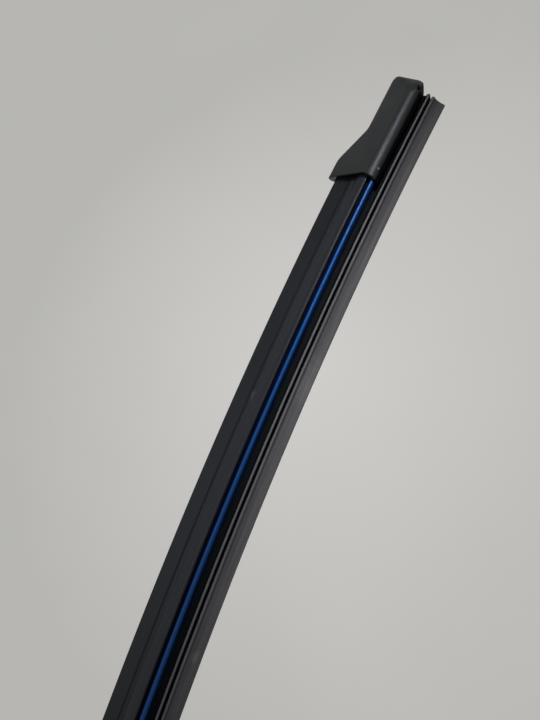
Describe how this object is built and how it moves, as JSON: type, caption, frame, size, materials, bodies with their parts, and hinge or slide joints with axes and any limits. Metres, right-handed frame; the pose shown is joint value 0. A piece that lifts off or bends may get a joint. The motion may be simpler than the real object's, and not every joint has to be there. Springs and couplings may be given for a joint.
{
  "type": "wiper blade",
  "caption": "Flat pre-bent wiper blade: finned spoiler, spring rails with blue edges, wiping rubber, stepped end caps and a hook adapter on a hollow pivot.",
  "frame": {"origin": "middle of the pivot tube's bore", "axes": "+X along the blade towards the pictured end, +Y across it along the pivot, +Z from the wiping lip towards the spoiler"},
  "size_m": [0.6102, 0.0154, 0.0591],
  "materials": {
    "rubber": "matte",
    "rail": "gloss",
    "bridge": "satin",
    "spoiler": "matte",
    "cap": "satin",
    "base": "satin",
    "pivot": "satin",
    "adapter": "satin"
  },
  "bodies": {
    "blade": {"wiper_rubber": "rubber", "rail_front": "rail", "rail_rear": "rail", "rail_bridge_right": "bridge", "rail_bridge_left": "bridge", "spoiler_right": "spoiler", "spoiler_left": "spoiler", "end_cap_right": "cap", "end_cap_left": "cap", "connector_base": "base", "pivot_tube": "pivot"},
    "adapter": {"hook_adapter": "adapter"}
  },
  "joints": [
    {"name": "adapter_swing", "type": "hinge", "parent": "blade", "child": "adapter", "pos_m": [0, 0, 0], "axis": [0, 1, 0], "range_deg": [-15, 15]}
  ]
}
